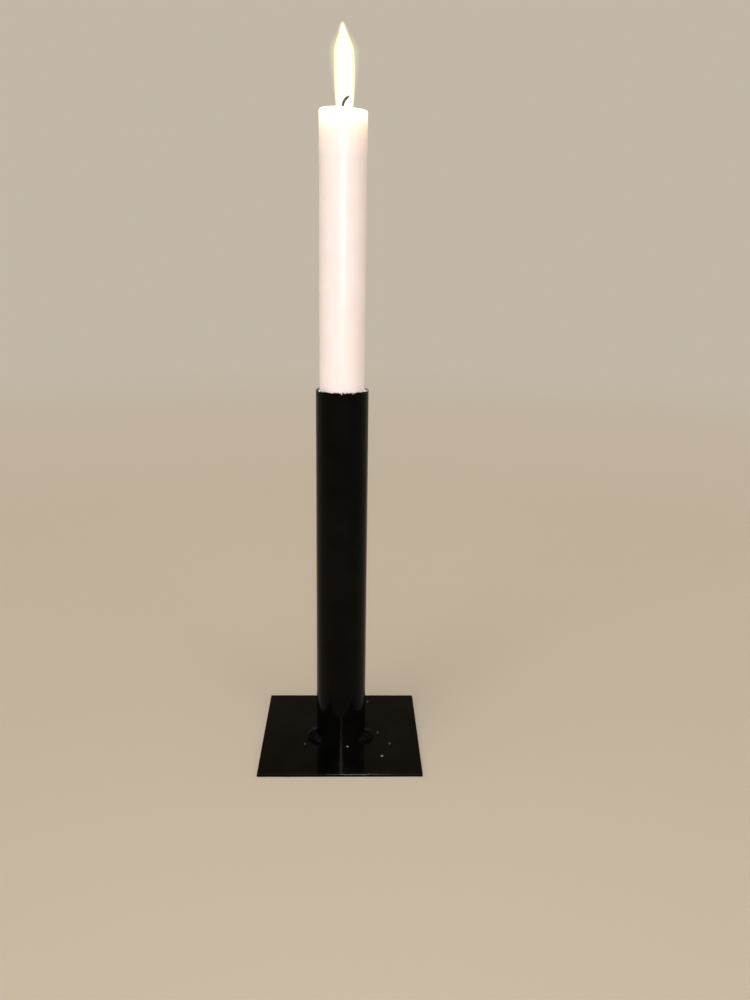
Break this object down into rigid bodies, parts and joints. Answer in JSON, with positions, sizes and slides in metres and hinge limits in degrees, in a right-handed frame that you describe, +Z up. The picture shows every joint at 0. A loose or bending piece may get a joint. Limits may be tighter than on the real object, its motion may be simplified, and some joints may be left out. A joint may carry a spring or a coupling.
{
  "type": "candlestick",
  "caption": "Upright round steel tube welded to a thin square steel plate, gloss black, holding a lit white dinner candle that lifts out.",
  "frame": {"origin": "centre of the base plate's underside, on the tube's axis, at table level", "axes": "+Z up along the tube and the candle; +X to the right and -Y to the front as the picture shows it, parallel to the plate's sides"},
  "size_m": [0.08, 0.08, 0.3376],
  "materials": {
    "black_paint": "gloss",
    "white_wax": "satin",
    "molten_wax": "polished",
    "cotton_wick": "matte",
    "flame": "matte"
  },
  "bodies": {
    "candlestick": {"base_plate": "black_paint", "stem_tube": "black_paint", "weld_left": "black_paint", "weld_right": "black_paint", "weld_rear": "black_paint", "weld_spatter": "black_paint", "wax_slivers": "white_wax"},
    "candle": {"candle_wax": "white_wax", "molten_wax": "molten_wax", "wick": "cotton_wick", "flame": "flame"}
  },
  "joints": [
    {"name": "candle_lift", "type": "slide", "parent": "candlestick", "child": "candle", "axis": [0, 0, 1], "range_m": [0, 0.19]}
  ]
}
